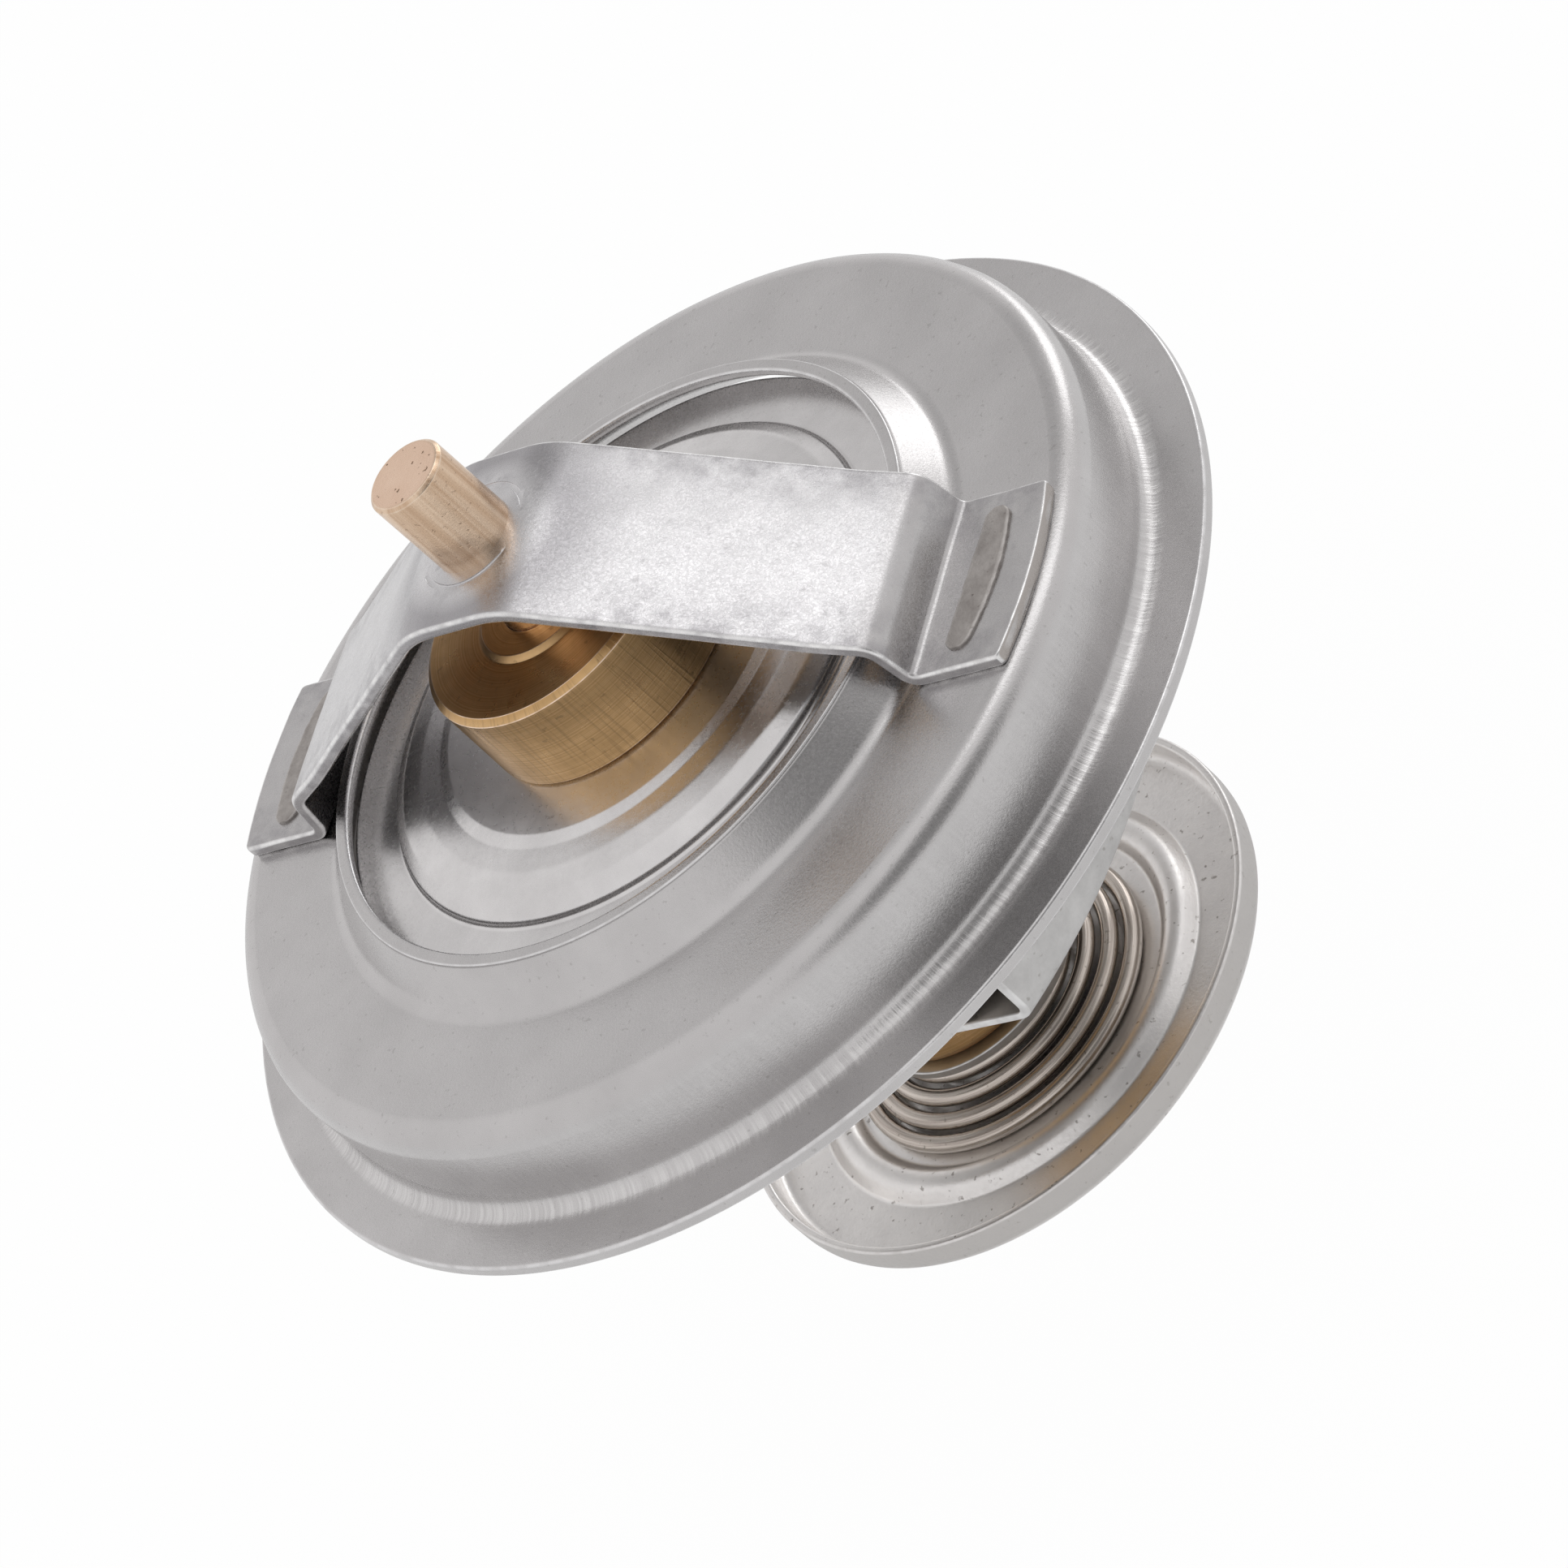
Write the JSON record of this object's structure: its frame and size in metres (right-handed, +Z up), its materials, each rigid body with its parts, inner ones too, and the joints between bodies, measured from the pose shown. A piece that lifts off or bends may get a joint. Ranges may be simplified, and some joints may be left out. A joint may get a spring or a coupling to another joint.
{
  "type": "engine thermostat",
  "caption": "Insert thermostat for an engine: round seating flange, bridge with piston pin, spring-loaded main valve on a wax element, and a sprung bypass disc below.",
  "frame": {"origin": "on the pin's axis, at the flat underside of the bypass disc, on which the part stands", "axes": "+Z up along the piston pin, from the bypass disc towards the bridge; X along the bridge; Y across it"},
  "size_m": [0.09, 0.09, 0.0727],
  "materials": {
    "flange_steel": "satin rolled steel with fine radial and round drawing marks",
    "bridge_steel": "bright strip with a mottled, slightly crazed surface",
    "frame_steel": "pale satin strip, tenon ends rough and brownish where staked",
    "pin_steel": "drawn rod with a warm bronze tint and a pitted end",
    "support_plastic": "plain white low-friction plastic",
    "element_brass": "turned brass, dulled to golden brown, bright on its chamfer",
    "wax": "solid wax, sealed inside the cup",
    "element_rubber": "plain black rubber, sealed inside the element",
    "valve_steel": "smooth pressed steel, polished, darker than the flange",
    "spring_steel": "dark drawn wire with bright streaks along it",
    "washer_steel": "flat punched steel",
    "bypass_steel": "warm pale satin sheet with tiny dark specks"
  },
  "bodies": {
    "housing": {"flange_plate": "flange_steel", "bridge": "bridge_steel", "lower_frame": "frame_steel", "piston_pin": "pin_steel", "support_disc": "support_plastic"},
    "element": {"element_guide": "element_brass", "element_cup": "element_brass", "wax_charge": "wax", "diaphragm": "element_rubber", "rubber_plug": "element_rubber", "main_valve_plate": "valve_steel", "main_spring": "spring_steel", "spring_seat_washer": "washer_steel", "bypass_stem": "pin_steel", "stem_retainer": "washer_steel", "bypass_spring": "spring_steel"},
    "bypass": {"bypass_disc": "bypass_steel"}
  },
  "joints": [
    {"name": "main_valve_lift", "type": "slide", "parent": "housing", "child": "element", "axis": [0, 0, -1], "range_m": [0, 0.008], "stiffness_N_per_m": 6000, "springref_m": -0.01, "deforming": ["main_spring"]},
    {"name": "bypass_disc_slide", "type": "slide", "parent": "element", "child": "bypass", "axis": [0, 0, 1], "range_m": [0, 0.0022], "stiffness_N_per_m": 1500, "springref_m": -0.0055, "deforming": ["bypass_spring"]}
  ]
}
